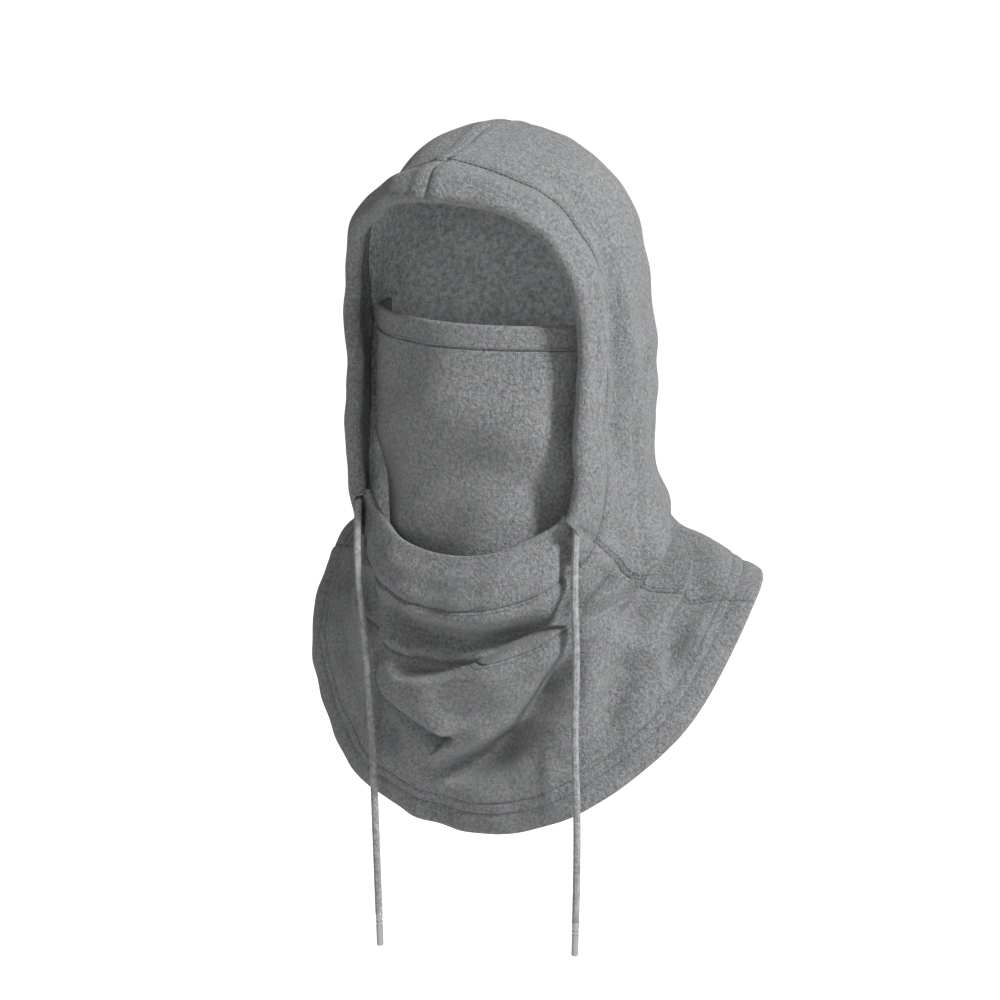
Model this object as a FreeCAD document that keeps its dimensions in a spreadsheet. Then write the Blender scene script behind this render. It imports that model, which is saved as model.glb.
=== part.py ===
"""Hooded fleece balaclava: a hood with a drawcord casing, a sewn-in face mask and a shoulder cape.

The part is in millimetres, +Z up. The wearer faces -Y and the wearer's left is +X. The origin is the point
inside the crown where the top of the head rests.

The garment is one skin from the face opening to the hem. A place on it is (around, out): around counts the
stations from the chin (0) over each ear to the top of the head (8 on the wearer's left, -8 on the right), and
out counts the rings from the opening (0) to the hem (9). Each panel is a patch of that skin with thickness.
"""
import FreeCAD, Part
import math
import os
from FreeCAD import Vector

os.makedirs("parts", exist_ok=True)
doc = FreeCAD.newDocument("Balaclava")

# ---------------------------------------------------------------- driving dimensions
SIZES = {
    "garment_width": 322.0,
    "fabric": 2.0,
    "cord_diameter": 5.0,
    "tunnel_height": 7.1,
    "hem_depth": 22.0,
    "outer_stitch": 13.0,
    "inner_stitch": 21.0,
    "thread_width": 0.8,
    "thread_height": 0.4,
    "crown_shift": 3.0,
    "crown_tilt": 0.06,
    "mask_half_width": 84.0,
    "mask_reach": 58.0,
    "mask_centre": 0.0,
    "mask_top": -121.0,
    "mask_bottom": -296.0,
    "mask_hem_depth": 16.0,
    "mask_fabric": 1.8,
    "aglet_radius": 2.3,
    "aglet_bore": 1.7,
    "aglet_length": 23.0,
    "aglet_insertion": 20.0,
}
sheet = doc.addObject("Spreadsheet::Sheet", "Sizes")
for row, (name, value) in enumerate(SIZES.items(), start=1):
    sheet.set(f"A{row}", name)
    sheet.set(f"B{row}", str(value))
    sheet.setAlias(f"B{row}", name)
doc.recompute()


def size(name):
    return float(sheet.get(name))


# ---------------------------------------------------------------- the skin of the garment
# Half of each ring, from the chin to the top: chin, jaw, jaw corner, casing end, cheek, temple, brow corner,
# brow, top. The other half mirrors it.
RINGS = {
    "opening": [(0, -68, -272), (33, -64, -268), (57, -54, -257), (75, -44, -243), (79, -43, -182),
                (82, -42, -120), (67, -52, -70), (38, -68, -49), (0, -78, -43)],
    "casing_seam": [(0, -74, -306), (36, -70, -302), (66, -54, -290), (87, -26, -262), (88.5, -18, -182),
                    (90, -18, -111), (72.5, -31, -55), (41, -51, -31), (0, -62, -19)],
    "throat_seam": [(0, -72, -346), (40, -68, -341), (78, -48, -320), (94, -6, -280), (91, 18, -184),
                    (92, 20, -96), (74, 6, -37), (42, -14, -13), (0, -22, -5)],
    "crown": [(0, -69, -366), (44, -64, -359), (85, -41, -332), (98, 6, -290), (89, 40, -202),
              (88, 48, -110), (70, 34, -41), (40, 24, -12), (0, 20, -3)],
    "occiput": [(0, -66, -384), (48, -60, -374), (92, -34, -342), (105, 14, -295), (87, 54, -224),
                (77, 70, -138), (60, 68, -72), (34, 62, -39), (0, 61, -29)],
    "back": [(0, -63, -399), (51, -56, -387), (99, -26, -350), (114, 22, -299), (86, 64, -244),
             (66, 80, -182), (50, 86, -131), (28, 90, -104), (0, 92, -94)],
    "nape": [(0, -60, -412), (54, -52, -398), (106, -19, -356), (125, 31, -301), (91, 73, -262),
             (64, 86, -228), (42, 90, -204), (22, 92, -194), (0, 92, -190)],
    "shoulder": [(0, -58, -424), (60, -50, -411), (118, -15, -362), (138, 40, -302), (108, 84, -276),
                 (76, 102, -274), (49, 110, -278), (25, 114, -280), (0, 115, -281)],
    "hem": [(0, -49, -460), (72, -44, -445), (140, -6, -386), (161, 54, -307), (147, 95, -295),
            (106, 126, -330), (71, 140, -362), (36, 147, -382), (0, 149, -388)],
}
STATIONS = 8
CASING_END = 3
FULL_WIDTH = 322.0


def hem_line(shoulder, hem, depth):
    """The ring where the turned hem ends, a fixed depth above the edge."""
    return [tuple(Vector(*low) + (Vector(*high) - Vector(*low)).normalize() * depth)
            for high, low in zip(shoulder, hem)]


rings = list(RINGS.values())
rings.insert(-1, hem_line(rings[-2], rings[-1], size("hem_depth")))
LAST = len(rings) - 1
SEAM, THROAT, HEM_LINE = 1, 2, LAST - 1
width_scale = size("garment_width") / FULL_WIDTH


def smooth_step(value):
    value = max(0.0, min(1.0, value))
    return value * value * (3 - 2 * value)


def curve_point(before, start, end, after, share):
    """A point between start and end on the centripetal Catmull-Rom curve through four points."""
    knots = [0.0]
    points = (before, start, end, after)
    for first, second in zip(points, points[1:]):
        knots.append(knots[-1] + max((second - first).Length, 0.001) ** 0.5)
    place = knots[1] + share * (knots[2] - knots[1])

    def between(first, second, low, high):
        return first * ((high - place) / (high - low)) + second * ((place - low) / (high - low))

    one = [between(points[i], points[i + 1], knots[i], knots[i + 1]) for i in range(3)]
    two = [between(one[i], one[i + 1], knots[i], knots[i + 2]) for i in range(2)]
    return between(two[0], two[1], knots[1], knots[2])


def ring_control(ring, index):
    """A ring's point at a whole station, mirrored on the wearer's right."""
    index = (index + STATIONS) % (2 * STATIONS) - STATIONS
    across, depth, height = rings[ring][abs(index)]
    side = width_scale if index >= 0 else -width_scale
    return Vector(side * across, depth, height)


def ring_point(ring, around):
    index = math.floor(around)
    near = [ring_control(ring, index + step) for step in (-1, 0, 1, 2)]
    return curve_point(*near, around - index)


def skin_point(around, out):
    """A point on the outside of the fabric. The hood leans a little, so its top is tilted and shifted."""
    ring = min(int(out), LAST - 1)
    near = {}
    for step in (-1, 0, 1, 2):
        if 0 <= ring + step <= LAST:
            near[step] = ring_point(ring + step, around)
    near.setdefault(-1, near[0] * 2 - near[1])
    near.setdefault(2, near[1] * 2 - near[0])
    point = curve_point(near[-1], near[0], near[1], near[2], out - ring)
    high = smooth_step((point.z + 150) / 90)
    front = smooth_step((40 - point.y) / 80)
    return point + Vector(-size("crown_shift") * high * front, 0, size("crown_tilt") * point.x * high)


STEP = 0.02


def skin_normal(around, out):
    low, high = max(out - STEP, 0), min(out + STEP, LAST)
    along = skin_point(around + STEP, out) - skin_point(around - STEP, out)
    outward = skin_point(around, high) - skin_point(around, low)
    return outward.cross(along).normalize()


# ---------------------------------------------------------------- levels above and below the skin
PITCH = 0.25
DEGREE = 3
FOLD = 0.07
THREAD_GAP = 0.1
LAYER_GAP = 0.4
SEAM_GAP = 0.3

around_places = [i * PITCH for i in range(int(-STATIONS / PITCH) - 1, int(STATIONS / PITCH) + 2)]
out_places = [i * PITCH for i in range(-1, int(LAST / PITCH) + 2)]
fabric = size("fabric")


def skin_column(around):
    """The skin's points and normals along one line outwards, with one more of each past both ends."""
    inside = [(skin_point(around, o), skin_normal(around, o)) for o in out_places[1:-1]]
    before = (inside[0][0] * 2 - inside[1][0], inside[0][1])
    after = (inside[-1][0] * 2 - inside[-2][0], inside[-1][1])
    return [before] + inside + [after]


skin_grid = [skin_column(around) for around in around_places]


def tunnel_roof(out):
    """The underside of the casing's outer layer: high over the drawcord, low at the seam."""
    return SEAM_GAP + (size("tunnel_height") - SEAM_GAP) * (1 - smooth_step((out - 0.55) / 0.4))


LEVELS = {
    "outside": lambda out: 0.0,
    "inside": lambda out: -fabric,
    "lining_top": lambda out: -fabric - LAYER_GAP,
    "lining": lambda out: -2 * fabric - LAYER_GAP,
    "hem_inside": lambda out: -2 * fabric,
    "roof": tunnel_roof,
    "casing_outside": lambda out: tunnel_roof(out) + fabric,
    "thread_low": lambda out: THREAD_GAP,
    "thread_high": lambda out: THREAD_GAP + size("thread_height"),
    "centre_low": lambda out: tunnel_roof(out) + fabric + THREAD_GAP,
    "centre_high": lambda out: tunnel_roof(out) + fabric + THREAD_GAP + size("thread_height"),
}
surfaces = {}


def even_knots(places):
    return [places[0] + (i - 2) * PITCH for i in range(len(places) + DEGREE + 1)]


def level_surface(level):
    """The smooth surface of a level. Its two parameters are the places around and out."""
    if level not in surfaces:
        heights = [LEVELS[level](min(max(out, 0), LAST)) for out in out_places]
        poles = [[point + normal * height for (point, normal), height in zip(column, heights)]
                 for column in skin_grid]
        around_knots, out_knots = even_knots(around_places), even_knots(out_places)
        surfaces[level] = Part.BSplineSurface()
        surfaces[level].buildFromPolesMultsKnots(
            poles, [1] * len(around_knots), [1] * len(out_knots), around_knots, out_knots,
            False, False, DEGREE, DEGREE)
    return surfaces[level]


def wall(curves, low, high):
    """The ruled face between the same stretch of two curves."""
    first, second = [curve.toShape(low, high) for curve in curves]
    return Part.makeRuledSurface(first, second)


def cell_sides(cell):
    """The six sides of a cell, each with a key that its neighbour's touching side shares."""
    around0, around1, out0, out1, low, high = cell
    for level in (low, high):
        yield ("level", level, around0, around1, out0, out1)
    for around in (around0, around1):
        yield ("around", around, out0, out1, low, high)
    for out in (out0, out1):
        yield ("out", out, around0, around1, low, high)


def side_face(key):
    kind = key[0]
    if kind == "level":
        return level_surface(key[1]).toShape(*key[2:])
    _, place, start, end, low, high = key
    levels = [level_surface(low), level_surface(high)]
    if kind == "around":
        return wall([surface.uIso(place) for surface in levels], start, end)
    return wall([surface.vIso(place) for surface in levels], start, end)


def cells_solid(cells):
    """One solid made of cells: the sides that two cells share are left out and the rest are sewn."""
    keys = []
    for cell in cells:
        for key in cell_sides(cell):
            if key in keys:
                keys.remove(key)
            else:
                keys.append(key)
    sewn = Part.Compound([side_face(key) for key in keys])
    sewn.sewShape(0.01)
    solid = Part.makeSolid(sewn.Shells[0] if sewn.Shells else Part.Shell(sewn.Faces))
    if solid.Volume < 0:
        solid.reverse()
    return solid


# ---------------------------------------------------------------- adding objects to the document
labels = []


def add_shape(label, shape):
    """A sub-part whose shape is worked out here from the sheet's sizes."""
    feature = doc.addObject("Part::Feature", label)
    feature.Label = label
    feature.Shape = shape
    labels.append(feature)
    return feature


def add_cells(label, cells):
    return add_shape(label, cells_solid(cells))


def folded_strip(around0, around1, levels):
    """A strip folded at the opening: an outer layer, the fold and an inner layer, out to the casing seam."""
    bottom, inner, outer, top = levels
    return [
        (around0, around1, 0, FOLD, outer, top),
        (around0, around1, FOLD, SEAM, outer, top),
        (around0, around1, 0, FOLD, inner, outer),
        (around0, around1, 0, FOLD, bottom, inner),
        (around0, around1, FOLD, SEAM, bottom, inner),
    ]


def hemmed_panel(around0, around1, out0):
    """A panel down to the hem, where the fabric is turned up and lies double."""
    return [
        (around0, around1, out0, HEM_LINE, "inside", "outside"),
        (around0, around1, HEM_LINE, LAST, "inside", "outside"),
        (around0, around1, HEM_LINE, LAST, "hem_inside", "inside"),
    ]


# ---------------------------------------------------------------- fabric panels
CASING_LEVELS = ("inside", "outside", "roof", "casing_outside")
COLLAR_LEVELS = ("lining", "lining_top", "inside", "outside")
add_cells("casing_left", folded_strip(CASING_END, STATIONS, CASING_LEVELS))
add_cells("casing_right", folded_strip(-STATIONS, -CASING_END, CASING_LEVELS))
add_cells("side_panel_left", hemmed_panel(CASING_END, STATIONS, SEAM))
add_cells("side_panel_right", hemmed_panel(-STATIONS, -CASING_END, SEAM))
add_cells("collar", folded_strip(-CASING_END, CASING_END, COLLAR_LEVELS))
add_cells("throat_panel", [(-CASING_END, CASING_END, SEAM, THROAT, "inside", "outside")])
add_cells("front_bib", hemmed_panel(-CASING_END, CASING_END, THROAT))


# ---------------------------------------------------------------- seam threads
def thread_across(label, around0, around1, out):
    """A line of stitching at one distance from the opening."""
    spacing = (skin_point(around0, out + STEP) - skin_point(around0, out)).Length / STEP
    add_cells(label, [(around0, around1, out, out + size("thread_width") / spacing, "thread_low", "thread_high")])


def thread_outwards(label, around, out0, out1, low="thread_low", high="thread_high"):
    """A line of stitching along one station."""
    middle = (out0 + out1) / 2
    spacing = (skin_point(around + STEP, middle) - skin_point(around, middle)).Length / STEP
    add_cells(label, [(around, around + size("thread_width") / spacing, out0, out1, low, high)])


BESIDE = 0.03
thread_across("casing_seam_thread_left", CASING_END + BESIDE, STATIONS - BESIDE, SEAM + BESIDE)
thread_across("casing_seam_thread_right", BESIDE - STATIONS, -CASING_END - BESIDE, SEAM + BESIDE)
thread_across("collar_seam_thread", BESIDE - CASING_END, CASING_END - BESIDE, SEAM + BESIDE)
thread_across("throat_seam_thread", BESIDE - CASING_END, CASING_END - BESIDE, THROAT + BESIDE)
thread_outwards("casing_centre_thread", -STATIONS + BESIDE, FOLD, SEAM - BESIDE, "centre_low", "centre_high")
thread_outwards("crown_seam_thread", -STATIONS + BESIDE, SEAM + 3 * BESIDE, HEM_LINE - BESIDE)
thread_outwards("front_seam_thread_left", CASING_END + BESIDE, SEAM + 3 * BESIDE, HEM_LINE - BESIDE)
thread_outwards("front_seam_thread_right", -CASING_END - 2 * BESIDE, SEAM + 3 * BESIDE, HEM_LINE - BESIDE)
for row in ("outer", "inner"):
    hem_place = LAST - size(f"{row}_stitch") / size("hem_depth")
    thread_across(f"hem_thread_{row}", BESIDE - STATIONS, STATIONS - BESIDE, hem_place)


# ---------------------------------------------------------------- the face mask
def plane_of(body, role):
    return next(f for f in body.Origin.OriginFeatures if f.Role == role)


def mask_outline(sketch, outer, inner):
    """A half ring in plan, open at the back: outer and inner are distances from the mask's outer face."""
    centre = Vector(0, size("mask_centre"), 0)
    arcs = []
    for grow in (outer, inner):
        half = size("mask_half_width") + grow
        reach = size("mask_reach") + grow
        ellipse = Part.Ellipse(centre + Vector(half, 0, 0), centre + Vector(0, reach, 0), centre)
        arcs.append(Part.ArcOfEllipse(ellipse, math.pi, 2 * math.pi))
    for arc in arcs:
        sketch.addGeometry(arc, False)
    for first, second in zip((arcs[0].StartPoint, arcs[0].EndPoint), (arcs[1].StartPoint, arcs[1].EndPoint)):
        sketch.addGeometry(Part.LineSegment(first, second), False)


def mask_band(label, bottom, length, outer, inner):
    """A padded band of the mask. Its height is bound to the sheet."""
    body = doc.addObject("PartDesign::Body", label)
    body.Label = label
    sketch = body.newObject("Sketcher::SketchObject", f"{label}_plan")
    sketch.AttachmentSupport = [(plane_of(body, "XY_Plane"), "")]
    sketch.MapMode = "FlatFace"
    mask_outline(sketch, outer, inner)
    pad = body.newObject("PartDesign::Pad", f"{label}_pad")
    pad.Profile = sketch
    pad.setExpression("Length", length)
    body.setExpression("Placement.Base.z", bottom)
    doc.recompute()
    labels.append(body)
    return body


MASK_GAP = 0.3
mask_band("mask_panel", "Sizes.mask_bottom",
          f"Sizes.mask_top - Sizes.mask_hem_depth - {MASK_GAP} - Sizes.mask_bottom", 0, -size("mask_fabric"))
mask_band("mask_hem", "Sizes.mask_top - Sizes.mask_hem_depth", "Sizes.mask_hem_depth",
          0, -2 * size("mask_fabric"))
mask_band("mask_hem_thread", "Sizes.mask_top - Sizes.mask_hem_depth + 1", "Sizes.thread_width",
          THREAD_GAP + size("thread_height"), THREAD_GAP)


# ---------------------------------------------------------------- the drawcord
CORD_PLACE = 0.3
cord_radius = size("cord_diameter") / 2
SIDE_TOP = CASING_END + 1
CORD_FLOOR = 1.4


def tunnel_point(around):
    """The middle of the drawcord inside the casing."""
    return skin_point(around, CORD_PLACE) + skin_normal(around, CORD_PLACE) * (cord_radius + CORD_FLOOR)


def arch_tube():
    """The cord over the top of the face, as many short straight stretches of a round tube."""
    count = 48
    places = [-SIDE_TOP - 0.05 - (2 * STATIONS - 2 * SIDE_TOP - 0.1) * i / count for i in range(count + 1)]
    circles = []
    for place in places:
        direction = tunnel_point(place - STEP) - tunnel_point(place + STEP)
        circles.append(Part.Wire(Part.makeCircle(cord_radius, tunnel_point(place), direction)))
    return Part.makeLoft(circles, True, True)


add_shape("drawcord_arch", arch_tube())

# Each tail's route, from below the casing's mouth down to the top of the aglet. The tail turns as it leaves
# the mouth, so it starts a little below the end of the straight piece and the two end faces don't cross.
TAIL_GAP = 1.1
TAILS = {
    "left": [(82, -44, -270), (85, -50, -294), (88, -52, -332), (87, -53, -388), (89, -51, -448),
             (88, -52, -508)],
    "right": [(-77, -51, -270), (-70, -61, -296), (-62, -66, -334), (-58, -65, -392), (-55, -66, -458),
              (-54, -64, -522)],
}


def tube_along(points, radius):
    """A tube of straight runs joined by tangent arcs, as large as the runs allow."""
    edges = []
    start = points[0]
    radii = []
    for before, corner, after in zip(points, points[1:], points[2:]):
        run_in = (corner - before).Length
        run_out = (after - corner).Length
        way_in = (corner - before).normalize()
        way_out = (after - corner).normalize()
        turn = way_in.getAngle(way_out)
        reach = 0.45 * min(run_in, run_out)
        radii.append(reach / math.tan(turn / 2))
        arc_start = corner - way_in * reach
        arc_end = corner + way_out * reach
        middle = (way_out - way_in).normalize()
        centre = arc_start + (middle - way_in * middle.dot(way_in)).normalize() * radii[-1]
        arc_middle = centre + (corner - centre).normalize() * radii[-1]
        edges.append(Part.LineSegment(start, arc_start).toShape())
        edges.append(Part.Arc(arc_start, arc_middle, arc_end).toShape())
        start = arc_end
    edges.append(Part.LineSegment(start, points[-1]).toShape())
    path = Part.Wire(edges)
    ring = Part.Wire(Part.makeCircle(radius, points[0], points[1] - points[0]))
    tube = path.makePipeShell([ring], True, True)
    expected = math.pi * radius ** 2 * path.Length
    print("radii", [round(r, 1) for r in radii], "length", round(path.Length, 1),
          "volume share", round(tube.Volume / expected, 4))
    return tube


def aglet(label, top, direction):
    """A metal tube with a closed tip, turned about its own axis, that grips the end of the cord."""
    body = doc.addObject("PartDesign::Body", label)
    body.Label = label
    sketch = body.newObject("Sketcher::SketchObject", f"{label}_section")
    sketch.AttachmentSupport = [(plane_of(body, "XZ_Plane"), "")]
    sketch.MapMode = "FlatFace"
    outer, bore = size("aglet_radius"), size("aglet_bore")
    length, inserted = size("aglet_length"), size("aglet_insertion")
    lip = 0.3
    corners = [(bore, 0), (outer - lip, 0), (outer, -lip), (outer, lip - length), (outer - lip, -length),
               (0, -length), (0, -inserted), (bore, -inserted)]
    for first, second in zip(corners, corners[1:] + corners[:1]):
        sketch.addGeometry(Part.LineSegment(Vector(*first, 0), Vector(*second, 0)), False)
    turned = body.newObject("PartDesign::Revolution", f"{label}_turned")
    turned.Profile = sketch
    turned.ReferenceAxis = (sketch, ["V_Axis"])
    turned.Angle = 360
    turn = FreeCAD.Rotation(Vector(0, 0, -1), direction)
    body.Placement = FreeCAD.Placement(top, turn)
    doc.recompute()
    labels.append(body)


for side, sign in (("left", 1), ("right", -1)):
    top = tunnel_point(sign * SIDE_TOP)
    mouth = tunnel_point(sign * CASING_END)
    down = (mouth - top).normalize()
    add_shape(f"drawcord_side_{side}", Part.makeCylinder(cord_radius, (mouth - top).Length, top, down))
    print(side, "slide axis", [round(v, 4) for v in down], "mouth", [round(v, 2) for v in mouth])
    hanging = [Vector(*point) for point in TAILS[side]]
    route = [mouth + (hanging[0] - mouth).normalize() * TAIL_GAP] + hanging
    end_way = (route[-1] - route[-2]).normalize()
    core = Part.makeCylinder(size("aglet_bore"), size("aglet_insertion"), route[-1], end_way)
    add_shape(f"drawcord_tail_{side}", tube_along(route, cord_radius).fuse(core))
    aglet(f"aglet_{side}", route[-1], end_way)

# ---------------------------------------------------------------- checks and files
doc.recompute()
for item in doc.Objects:
    if "Invalid" in item.State or "Error" in item.State:
        raise RuntimeError(f"{item.Label} did not build: {item.State}")
for item in labels:
    shape = item.Shape
    if shape.isNull() or not shape.isValid() or shape.Volume <= 0:
        raise RuntimeError(f"{item.Label} is not a sound solid: valid {shape.isValid()}")
for item in labels:
    item.Shape.exportStep(f"parts/{item.Label}.step")
    print(item.Label, round(item.Shape.Volume / 1000, 3), "cm3", len(item.Shape.Solids))
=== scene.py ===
"""Looks of the hooded fleece balaclava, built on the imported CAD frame. Metres, +Z up, the wearer faces -Y."""
import math

import bpy
import numpy as np
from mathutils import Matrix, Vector


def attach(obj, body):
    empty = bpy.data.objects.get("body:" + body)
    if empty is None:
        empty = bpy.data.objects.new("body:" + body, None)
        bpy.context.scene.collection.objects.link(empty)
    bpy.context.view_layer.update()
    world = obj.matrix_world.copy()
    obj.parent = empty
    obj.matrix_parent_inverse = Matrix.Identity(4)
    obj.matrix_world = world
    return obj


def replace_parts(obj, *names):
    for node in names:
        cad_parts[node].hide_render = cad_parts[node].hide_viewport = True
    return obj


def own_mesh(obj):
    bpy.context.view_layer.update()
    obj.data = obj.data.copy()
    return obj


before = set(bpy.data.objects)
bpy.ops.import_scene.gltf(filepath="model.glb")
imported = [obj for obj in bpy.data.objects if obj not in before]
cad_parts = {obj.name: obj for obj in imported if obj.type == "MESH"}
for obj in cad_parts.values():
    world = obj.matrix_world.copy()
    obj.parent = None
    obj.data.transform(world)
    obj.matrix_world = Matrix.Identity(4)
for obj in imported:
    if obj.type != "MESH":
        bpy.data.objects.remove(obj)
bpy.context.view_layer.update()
scene = bpy.context.scene

# ---------------------------------------------------------------- the skin of the garment
# A place on the garment is (around, out), as in the CAD: around counts stations from the chin (0) over the ear
# to the top (8 on the wearer's left, -8 on the right), out counts rings from the face opening to the hem.
RINGS_MM = [
    # opening
    [(0, -68, -272), (33, -64, -268), (57, -54, -257), (75, -44, -243), (79, -43, -182),
     (82, -42, -120), (67, -52, -70), (38, -68, -49), (0, -78, -43)],
    # casing seam and collar seam
    [(0, -74, -306), (36, -70, -302), (66, -54, -290), (87, -26, -262), (88.5, -18, -182),
     (90, -18, -111), (72.5, -31, -55), (41, -51, -31), (0, -62, -19)],
    # throat seam
    [(0, -72, -346), (40, -68, -341), (78, -48, -320), (94, -6, -280), (91, 18, -184),
     (92, 20, -96), (74, 6, -37), (42, -14, -13), (0, -22, -5)],
    # crown
    [(0, -69, -366), (44, -64, -359), (85, -41, -332), (98, 6, -290), (89, 40, -202),
     (88, 48, -110), (70, 34, -41), (40, 24, -12), (0, 20, -3)],
    # occiput
    [(0, -66, -384), (48, -60, -374), (92, -34, -342), (105, 14, -295), (87, 54, -224),
     (77, 70, -138), (60, 68, -72), (34, 62, -39), (0, 61, -29)],
    # back of the head
    [(0, -63, -399), (51, -56, -387), (99, -26, -350), (114, 22, -299), (86, 64, -244),
     (66, 80, -182), (50, 86, -131), (28, 90, -104), (0, 92, -94)],
    # nape
    [(0, -60, -412), (54, -52, -398), (106, -19, -356), (125, 31, -301), (91, 73, -262),
     (64, 86, -228), (42, 90, -204), (22, 92, -194), (0, 92, -190)],
    # shoulder
    [(0, -58, -424), (60, -50, -411), (118, -15, -362), (138, 40, -302), (108, 84, -276),
     (76, 102, -274), (49, 110, -278), (25, 114, -280), (0, 115, -281)],
    # hem
    [(0, -49, -460), (72, -44, -445), (140, -6, -386), (161, 54, -307), (147, 95, -295),
     (106, 126, -330), (71, 140, -362), (36, 147, -382), (0, 149, -388)],
]
STATIONS = 8
CASING_END = 3
SEAM, THROAT = 1, 2
HEM_DEPTH = 0.022
CROWN_SHIFT, CROWN_TILT = 0.003, 0.06
PITCH = 0.25
STEP = 0.02


def whole_ring(half):
    """All 16 stations of a ring in metres, from 0 round the wearer's left side, the top and the right."""
    left = [np.array(point, float) / 1000 for point in half]
    right = [point * (-1, 1, 1) for point in left[-2:0:-1]]
    return left + right


def hem_line(shoulder, hem):
    """The ring where the turned hem ends."""
    return [low + (high - low) / np.linalg.norm(high - low) * HEM_DEPTH for high, low in zip(shoulder, hem)]


rings = [whole_ring(half) for half in RINGS_MM]
rings.insert(-1, hem_line(rings[-2], rings[-1]))
LAST = len(rings) - 1
HEM_LINE = LAST - 1


def curve_point(near, share):
    """A point between the middle two of four points on their centripetal Catmull-Rom curve."""
    gaps = [max(np.linalg.norm(b - a), 1e-6) ** 0.5 for a, b in zip(near, near[1:])]
    knots = [0.0, gaps[0], gaps[0] + gaps[1], sum(gaps)]
    place = knots[1] + share * gaps[1]

    def between(first, second, low, high):
        return (first * (high - place) + second * (place - low)) / (high - low)

    one = [between(near[i], near[i + 1], knots[i], knots[i + 1]) for i in range(3)]
    two = [between(one[i], one[i + 1], knots[i], knots[i + 2]) for i in range(2)]
    return between(two[0], two[1], knots[1], knots[2])


def ring_point(ring, around):
    index = math.floor(around)
    count = 2 * STATIONS
    return curve_point([rings[ring][(index + step) % count] for step in (-1, 0, 1, 2)], around - index)


def smooth_step(value):
    value = np.clip(value, 0, 1)
    return value * value * (3 - 2 * value)


def skin_point(around, out):
    """A point on the outside of the smooth garment, with the hood's slight lean."""
    ring = min(int(out), LAST - 1)
    near = {step: ring_point(ring + step, around) for step in (-1, 0, 1, 2) if 0 <= ring + step <= LAST}
    near.setdefault(-1, near[0] * 2 - near[1])
    near.setdefault(2, near[1] * 2 - near[0])
    point = curve_point([near[-1], near[0], near[1], near[2]], out - ring)
    high = smooth_step((point[2] + 0.150) / 0.090)
    front = smooth_step((0.040 - point[1]) / 0.080)
    return point + np.array([-CROWN_SHIFT * high * front, 0, CROWN_TILT * point[0] * high])


def skin_poles():
    """The skin at every quarter of a station and a ring: periodic around, with one more past both ends outwards."""
    around_count = int(2 * STATIONS / PITCH)
    out_count = int(LAST / PITCH)
    poles = np.array([[skin_point(i * PITCH - STATIONS, j * PITCH) for j in range(out_count + 1)]
                      for i in range(around_count)])
    before = 2 * poles[:, :1] - poles[:, 1:2]
    after = 2 * poles[:, -1:] - poles[:, -2:-1]
    return np.concatenate([before, poles, after], axis=1)


POLES = skin_poles()


def spline_weights(place):
    """The four weights of a uniform cubic B-spline and their slopes, at a share of one span."""
    share = place - np.floor(place)
    rest = 1 - share
    weights = [rest ** 3, 3 * share ** 3 - 6 * share ** 2 + 4, 3 * rest ** 3 - 6 * rest ** 2 + 4, share ** 3]
    slopes = [-3 * rest ** 2, 9 * share ** 2 - 12 * share, 12 * rest - 9 * rest ** 2, 3 * share ** 2]
    return np.stack(weights, -1) / 6, np.stack(slopes, -1) / 6


def skin(around, out):
    """Points and outward normals of the smooth skin at arrays of places."""
    around, out = np.broadcast_arrays(np.asarray(around, float), np.asarray(out, float))
    u = (around + STATIONS) / PITCH
    v = np.clip(out, 0, LAST - 1e-9) / PITCH
    u_index = np.floor(u).astype(int)[..., None] + np.arange(-1, 3)
    v_index = np.floor(v).astype(int)[..., None] + np.arange(0, 4)
    near = POLES[(u_index % POLES.shape[0])[..., :, None], v_index[..., None, :]]
    u_weights, u_slopes = spline_weights(u)
    v_weights, v_slopes = spline_weights(v)
    point = np.einsum("...i,...j,...ijk->...k", u_weights, v_weights, near)
    along = np.einsum("...i,...j,...ijk->...k", u_slopes, v_weights, near)
    outward = np.einsum("...i,...j,...ijk->...k", u_weights, v_slopes, near)
    normal = np.cross(outward, along)
    return point, normal / np.linalg.norm(normal, axis=-1, keepdims=True)


# ---------------------------------------------------------------- folds and seams
# A lip is a fold with a high side and a low side. Its points are places (around, out), and the low side is on
# the left as seen from outside. Sizes are in millimetres: height, width of the high side, depth of the low
# side, width of the drop, width of the low side, and how far the lip leans over the low side.
LIPS = {
    "hood_to_cape": ([(4.15, 4.4), (3.95, 4.75), (3.7, 4.7), (3.48, 4.4), (3.2, 3.95), (2.98, 3.38),
                      (2.7, 2.9), (2.5, 2.5)], 4, 12, 16, 8, 13, 3.0),
    "back_roll": ([(4.25, 4.6), (4.05, 5.6), (3.7, 6.0), (3.23, 5.78), (2.98, 5.53), (2.73, 5.35), (2.5, 5.7),
                   (2.28, 6.4), (2.1, 7.2)], 5, 14, 12, 7, 14, 3.0),
    "cowl_top": ([(-1.2, 2.2), (-0.8, 2.75), (-0.4, 2.72), (0.1, 2.5), (0.6, 2.15), (1.1, 1.93), (1.6, 1.88),
                  (2.1, 2.0), (2.48, 2.4), (2.8, 3.05), (3.1, 3.9), (3.35, 4.7)], 6, 15, 10, 6, 12, 4.5),
    "cowl_pocket": ([(0.17, 4.65), (0.05, 4.2), (-0.2, 3.85), (-0.65, 3.52), (-0.95, 3.25), (-1.15, 2.75),
                     (-1.25, 2.3)], 7, 15, 15, 7, 13, 3.5),
}
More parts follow.
